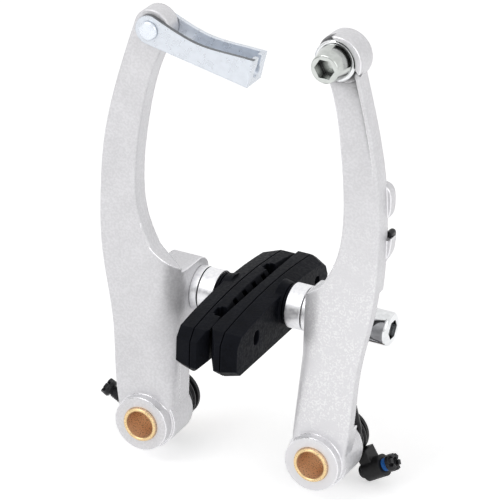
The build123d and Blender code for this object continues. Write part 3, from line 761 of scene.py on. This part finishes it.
class BRAKE_OT_springs(bpy.types.Operator):
    """Black plastic carriers and blacked spring wire"""

    bl_idname = "brake.springs"
    bl_label = "Springs and carriers"

    def execute(self, context):
        colours = context.scene.brake_finishes
        plastic = black_finish(
            "black_plastic",
            colours.plastic,
            metallic=0.0,
            roughness=0.45,
            grain=1400.0,
            depth=0.0001,
        )
        wire = black_finish(
            "black_wire",
            colours.spring_black,
            metallic=0.3,
            roughness=0.3,
            grain=1800.0,
            depth=0.0001,
        )
        dress(plastic.material, *both("spring_carrier"))
        dress(wire.material, *both("return_spring"))
        return {"FINISHED"}


class BRAKE_OT_screws(bpy.types.Operator):
    """Adjuster screws with ringed thread, neck and castle head, a blue patch on the thread"""

    bl_idname = "brake.screws"
    bl_label = "Adjuster screws"

    def execute(self, context):
        colours = context.scene.brake_finishes
        for side, sign, backed_off in zip(SIDES, SIGNS, BACKED_OFF):
            screw = self.turned()
            foot = Matrix.Translation((sign * (PIVOT_X + SCREW_OUT), -SCREW_DEPTH, -SCREW_DROP))
            mirror = Matrix.Diagonal((sign, 1.0, 1.0, 1.0))
            lie = Matrix.Rotation(-sign * SCREW_TILT, 4, "Y") @ mirror
            out = Matrix.Translation((backed_off, 0.0, 0.0))
            settle(screw, foot @ lie @ out)
            axis = (sign * math.cos(SCREW_TILT), 0.0, math.sin(SCREW_TILT))
            piece = show(f"{side}_castle_screw", screw, self.patched(side, axis, colours))
            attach(piece, f"{side}_adjuster")
            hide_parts(f"{side}_adjuster_screw")
        return {"FINISHED"}

    def patched(self, side, axis, colours):
        black = black_finish(
            f"black_screw_{side}",
            colours.spring_black,
            metallic=0.0,
            roughness=0.3,
            grain=1800.0,
            depth=0.0001,
        )
        back = tuple(-part for part in axis)
        start = black.effect("Along", Direction=axis, Low=PATCH_START, High=PATCH_START + RAMP)
        end = black.effect("Along", Direction=back, Low=-PATCH_END, High=RAMP - PATCH_END)
        patch = black.both_of(start.outputs["Mask"], end.outputs["Mask"])
        steel = black.shader.inputs["Base Color"].links[0].from_socket
        black.mix(patch, steel, colours.thread_blue, "Base Color")
        return black

    def turned(self):
        screw = bmesh.new()
        profile = [(THREAD_START, 0.0)]
        for step in range(THREAD_RINGS):
            root = THREAD_START + THREAD_PITCH * step
            profile += [(root, THREAD_ROOT), (root + THREAD_PITCH / 2, THREAD_CREST)]
        turn(screw, [*profile, *SCREW_HEAD])
        tooth = Matrix.Translation(TOOTH_PLACE) @ Matrix.Diagonal((*TOOTH_SIZE, 1.0))
        for step in range(TEETH):
            around = Matrix.Rotation(2 * math.pi * step / TEETH, 4, "X")
            bmesh.ops.create_cube(screw, size=1.0, matrix=around @ tooth)
        weld(screw)
        return screw


class BRAKE_OT_pads(bpy.types.Operator):
    """Moulded rubber pads: notched block, seam, tapered body with holes, lip round the post"""

    bl_idname = "brake.pads"
    bl_label = "Brake pads"

    def execute(self, context):
        shape = context.scene.brake_pad_shape
        rubber = self.rubber(context.scene.brake_finishes.rubber)
        for side, sign in zip(SIDES, SIGNS):
            notches = NOTCHES if side == "left" else ()
            pad = self.moulded(shape, notches)
            drop = Matrix.Translation((0.0, 0.0, -sign * shape.uneven))
            bmesh.ops.transform(pad, matrix=drop, verts=pad.verts[:])
            self.lip(pad, shape)
            weld(pad)
            pivot = Matrix.Translation((sign * PIVOT_X, 0.0, 0.0))
            lean = pivot @ Matrix.Rotation(LEAN, 4, "Y") @ pivot.inverted()
            mirror = Matrix.Diagonal((sign, 1.0, 1.0, 1.0))
            settle(pad, lean @ Matrix.Translation((0.0, -POST_DEPTH, POST_Z)) @ mirror)
            moulding = show(f"{side}_pad_moulding", pad, rubber)
            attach(moulding, f"{side}_pad")
            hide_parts(f"{side}_brake_pad")
        return {"FINISHED"}

    def moulded(self, shape, notches):
        face, front, low, seam = shape.face, shape.front, shape.low, shape.seam
        block_end = face + shape.block
        chamfer = ((block_end, 0.0, -low), (-1.0, 0.0, -1.0))
        nose = ((face + NOSE_CORNER[0], -front, 0.0), (-NOSE_CORNER[1], -NOSE_CORNER[0], 0.0))
        brow = ((face + BROW_IN, 0.0, shape.top - BROW_DROP), BROW_NORMAL)
        planes = [*outline_planes(shape), chamfer, nose, brow]
        pad = slab((face, block_end), (-front, PAD_REAR), planes)
        back = max(pad.faces, key=lambda side: side.calc_center_median().x)
        high = max(vert.co.z for vert in back.verts)
        whole = (-front, PAD_REAR, -low, high)
        inner = (seam - front, PAD_REAR - seam, seam - low, high - seam)
        taper = (
            BODY_CUT_FRONT - front,
            PAD_REAR - BODY_CUT_REAR,
            BODY_CUT_HALF - low,
            high - BODY_CUT_HALF,
        )
        for step, reach in ((0.0, inner), (seam, inner), (0.0, whole), (shape.body, taper)):
            back = grow(pad, back, step, reach)
        for y in HOLE_PLACES:
            sink(pad, block_end + seam + shape.body, y)
        if notches:
            notch(pad, face, notches)
        tidy_flats(pad)
        return pad

    def lip(self, pad, shape):
        # Two rings with a groove between them, let into the body round the post
        start = shape.face + shape.block + shape.seam + shape.body
        first, second = (start + edge for edge in LIP_GROOVE)
        outer, groove = shape.lip, shape.lip - LIP_GROOVE_DEEP
        profile = [
            (start - LIP_SUNK, 0.0),
            (start - LIP_SUNK, outer + LIP_FLARE),
            (first, outer),
            (first, groove),
            (second, groove),
            (second, outer),
            (LIP_END, outer - LIP_TAPER),
            (LIP_END, 0.0),
        ]
        turn(pad, profile)

    def rubber(self, colour):
        finish = Finish("pad_rubber", metallic=0.0, roughness=0.5)
        finish.shader.inputs["Specular IOR Level"].default_value = 0.05
        fine = finish.effect("Speckle", Scale=1300.0, Low=0.35, High=0.65)
        broad = finish.effect("Speckle", Scale=220.0, Low=0.35, High=0.65)
        edge = finish.effect("Rounded edge", Radius=0.0004)
        dark = finish.effect("Crevice shade", Distance=0.003, Low=0.35, High=0.7)
        base = finish.mix(fine.outputs["Mask"], shade(colour, 0.75), shade(colour, 1.25), None)
        dusty = finish.mix(broad.outputs["Mask"], base, shade(colour, 1.35), None)
        # Edges lighter: partly wear, partly a painted highlight
        edge_wear_and_highlight = finish.mix(edge.outputs["Mask"], dusty, shade(colour, 2.4), None)
        # Painted shade: the colour darkens in grooves, holes and the gap between the blocks
        finish.mix(dark.outputs["Mask"], edge_wear_and_highlight, shade(colour, 0.1), "Base Color")
        finish.span(fine.outputs["Mask"], 0.42, 0.6, "Roughness")
        finish.bump(fine.outputs["Height"], strength=0.4, distance=0.0002, edge=edge)
        return finish


class BRAKE_OT_link(bpy.types.Operator):
    """Zinc plating on the cable link and its rivet, with a painted shadow on the near flange's cut edge"""

    bl_idname = "brake.link"
    bl_label = "Cable link"

    def execute(self, context):
        colour = context.scene.brake_finishes.zinc
        up = (math.sin(LINK_SLOPE), 0.0, math.cos(LINK_SLOPE))
        front = (0.0, -1.0, 0.0)
        finish = metal_finish(
            "zinc_steel",
            colour,
            metallic=0.5,
            roughness=0.3,
            grain=420.0,
            crevice_shade=dict(Distance=0.0012, Low=0.5, High=1.0),
        )
        rim = finish.effect("Facing", Direction=up, Low=0.55, High=0.75)
        near = finish.effect("Along", Direction=front, Low=NEAR_FLANGE, High=NEAR_FLANGE + RAMP)
        plated = finish.shader.inputs["Base Color"].links[0].from_socket
        # Painted shadow: the near flange's cut edge darkens
        near_rim_shadow = finish.both_of(rim.outputs["Mask"], near.outputs["Mask"])
        finish.mix(near_rim_shadow, plated, shade(colour, 0.2), "Base Color")
        rivet = metal_finish(
            "zinc_rivet",
            shade(colour, 1.08),
            metallic=0.7,
            roughness=0.28,
            grain=500.0,
            crevice_shade=dict(Distance=0.001),
        )
        dress(finish.material, "cable_link")
        dress(rivet.material, "link_rivet")
        return {"FINISHED"}


class BRAKE_OT_hardware(bpy.types.Operator):
    """Satin steel washers and posts, chromed nuts and anchor"""

    bl_idname = "brake.hardware"
    bl_label = "Washers, nuts and anchor"

    def execute(self, context):
        colours = context.scene.brake_finishes
        satin = metal_finish(
            "satin_steel",
            colours.satin,
            metallic=0.75,
            roughness=0.36,
            grain=1200.0,
            crevice_shade=dict(Distance=0.0012),
        )
        chrome = metal_finish(
            "chrome",
            colours.chrome,
            metallic=1.0,
            roughness=0.1,
            grain=700.0,
            crevice_shade=dict(Distance=0.0016),
        )
        bolt = metal_finish(
            "chrome_bolt",
            colours.bolt,
            metallic=1.0,
            roughness=0.14,
            grain=700.0,
            crevice_shade=dict(Distance=0.003, Low=0.25, High=0.6),
        )
        dress(satin.material, *both("pad_post", *WASHERS))
        dress(chrome.material, *both("pad_nut"), "anchor_washer")
        dress(bolt.material, "anchor_bolt")
        return {"FINISHED"}


class BRAKE_OT_stage(bpy.types.Operator):
    """White paper floor, soft light, a dark card for reflections and the camera"""

    bl_idname = "brake.stage"
    bl_label = "Studio stage"

    def execute(self, context):
        studio = context.scene.brake_studio
        self.paper(studio)
        self.world(context.scene)
        for name, spot, power in LAMPS:
            self.lamp(name, spot, power)
        self.flag()
        self.camera(context.scene, studio)
        context.scene.view_settings.view_transform = "Standard"
        return {"FINISHED"}

    def paper(self, studio):
        level = CAD_BOX[0][2] - FLOOR_DROP
        bpy.ops.mesh.primitive_plane_add(size=FLOOR_SIZE, location=(0.0, 0.0, level))
        floor = bpy.context.object
        floor.name = "Paper floor"
        finish = Finish("white_paper", metallic=0.0, roughness=0.9)
        speckle = finish.effect("Speckle", Scale=300.0)
        finish.mix(speckle.outputs["Mask"], shade(studio.paper, 0.98), studio.paper, "Base Color")
        floor.data.materials.append(finish.material)
        path = place(finish.tree, "ShaderNodeLightPath")
        seen = place(finish.tree, "ShaderNodeMath", operation="MAXIMUM")
        glow = place(finish.tree, "ShaderNodeEmission")
        total = place(finish.tree, "ShaderNodeAddShader")
        scale = place(finish.tree, "ShaderNodeMath", operation="MULTIPLY")
        scale.inputs[1].default_value = PAPER_GLOW
        finish.link(path.outputs["Is Camera Ray"], seen.inputs[0])
        finish.link(path.outputs["Is Glossy Ray"], seen.inputs[1])
        finish.link(seen.outputs["Value"], scale.inputs[0])
        finish.link(scale.outputs["Value"], glow.inputs["Strength"])
        finish.link(finish.shader.outputs["BSDF"], total.inputs[0])
        finish.link(glow.outputs["Emission"], total.inputs[1])
        finish.link(total.outputs["Shader"], finish.tree.nodes["Material Output"].inputs["Surface"])

    def world(self, scene):
        world = bpy.data.worlds.new("Studio")
        world.use_nodes = True
        scene.world = world
        tree = world.node_tree
        path = place(tree, "ShaderNodeLightPath")
        seen = place(tree, "ShaderNodeMath", operation="MAXIMUM")
        seen_all = place(tree, "ShaderNodeMath", operation="MAXIMUM")
        level = place(tree, "ShaderNodeMapRange")
        level.inputs["To Min"].default_value = SKY_LIGHT
        level.inputs["To Max"].default_value = SKY_SEEN
        back = tree.nodes["Background"]
        back.inputs["Color"].default_value = (1.0, 1.0, 1.0, 1.0)
        tree.links.new(path.outputs["Is Camera Ray"], seen.inputs[0])
        tree.links.new(path.outputs["Is Glossy Ray"], seen.inputs[1])
        tree.links.new(seen.outputs["Value"], seen_all.inputs[0])
        tree.links.new(path.outputs["Is Transmission Ray"], seen_all.inputs[1])
        tree.links.new(seen_all.outputs["Value"], level.inputs["Value"])
        tree.links.new(level.outputs["Result"], back.inputs["Strength"])

    def flag(self):
        # Dark card that only reflections see
        bpy.ops.mesh.primitive_plane_add(size=1.0)
        flag = bpy.context.object
        flag.name = "Front flag"
        upright = Matrix.Rotation(math.radians(90.0), 4, "X")
        face = Matrix.Rotation(FLAG_AZIMUTH, 4, "Z") @ upright
        stretch = Matrix.Diagonal((*FLAG_SIZE, 1.0, 1.0))
        out = (math.sin(FLAG_AZIMUTH) * FLAG_DISTANCE, -math.cos(FLAG_AZIMUTH) * FLAG_DISTANCE)
        spot = Matrix.Translation((*out, FLAG_HEIGHT))
        flag.data.transform(spot @ face @ stretch)
        flag.visible_camera = False
        flag.visible_diffuse = False
        flag.visible_shadow = False
        cloth = Finish("black_cloth", metallic=0.0, roughness=0.9)
        speckle = cloth.effect("Speckle", Scale=200.0)
        cloth.mix(speckle.outputs["Mask"], (0.010, 0.010, 0.011), (0.016, 0.016, 0.017), "Base Color")
        flag.data.materials.append(cloth.material)

    def lamp(self, name, spot, power):
        data = bpy.data.lights.new(name, "AREA")
        data.size = LAMP_SIZE
        data.energy = power
        lamp = bpy.data.objects.new(name, data)
        lamp.location = spot
        aim = LAMP_AIM - lamp.location
        lamp.rotation_euler = aim.to_track_quat("-Z", "Y").to_euler()
        bpy.context.scene.collection.objects.link(lamp)

    def camera(self, scene, studio):
        azimuth, elevation = studio.azimuth, studio.elevation
        level = math.cos(elevation)
        back = Vector((math.sin(azimuth) * level, -math.cos(azimuth) * level, math.sin(elevation)))
        right = Vector((math.cos(azimuth), math.sin(azimuth), 0.0))
        up = back.cross(right)
        data = bpy.data.cameras.new("Photo camera")
        data.sensor_width = 36.0
        data.lens = studio.lens
        camera = bpy.data.objects.new("Photo camera", data)
        facing = Matrix((right, up, back)).transposed().to_4x4()
        spot = Vector(studio.aim) + studio.distance * back
        camera.matrix_world = Matrix.Translation(spot) @ facing
        scene.collection.objects.link(camera)
        scene.camera = camera


class BRAKE_PT_panel(bpy.types.Panel):
    bl_idname = "BRAKE_PT_panel"
    bl_label = "Brake"
    bl_space_type = "VIEW_3D"
    bl_region_type = "UI"
    bl_category = "Brake"

    def draw(self, context):
        for operator in OPERATORS:
            self.layout.operator(operator.bl_idname)


OPERATORS = (
    BRAKE_OT_arms,
    BRAKE_OT_bushings,
    BRAKE_OT_springs,
    BRAKE_OT_screws,
    BRAKE_OT_pads,
    BRAKE_OT_link,
    BRAKE_OT_hardware,
    BRAKE_OT_stage,
)
CLASSES = (BrakeFinishes, BrakePadShape, BrakeStudio, *OPERATORS, BRAKE_PT_panel)


def register():
    for cls in CLASSES:
        bpy.utils.register_class(cls)
    bpy.types.Scene.brake_finishes = bpy.props.PointerProperty(type=BrakeFinishes)
    bpy.types.Scene.brake_pad_shape = bpy.props.PointerProperty(type=BrakePadShape)
    bpy.types.Scene.brake_studio = bpy.props.PointerProperty(type=BrakeStudio)


def unregister():
    del bpy.types.Scene.brake_studio
    del bpy.types.Scene.brake_pad_shape
    del bpy.types.Scene.brake_finishes
    for cls in reversed(CLASSES):
        bpy.utils.unregister_class(cls)


def main():
    for leftover in ("Cube", "Light", "Camera"):
        if leftover in bpy.data.objects:
            bpy.data.objects.remove(bpy.data.objects[leftover])
    register()
    speckle_group()
    edge_group()
    painted_shade_group()
    direction_group("Facing", "Normal", (0.0, -1.0, 0.0), 0.5, 0.7)
    direction_group("Along", "Object", (0.0, 0.0, 1.0), 0.0, 0.001)
    bpy.ops.brake.arms()
    bpy.ops.brake.bushings()
    bpy.ops.brake.springs()
    bpy.ops.brake.screws()
    bpy.ops.brake.pads()
    bpy.ops.brake.link()
    bpy.ops.brake.hardware()
    bpy.ops.brake.stage()
    bpy.context.view_layer.update()


if __name__ == "__main__":
    main()
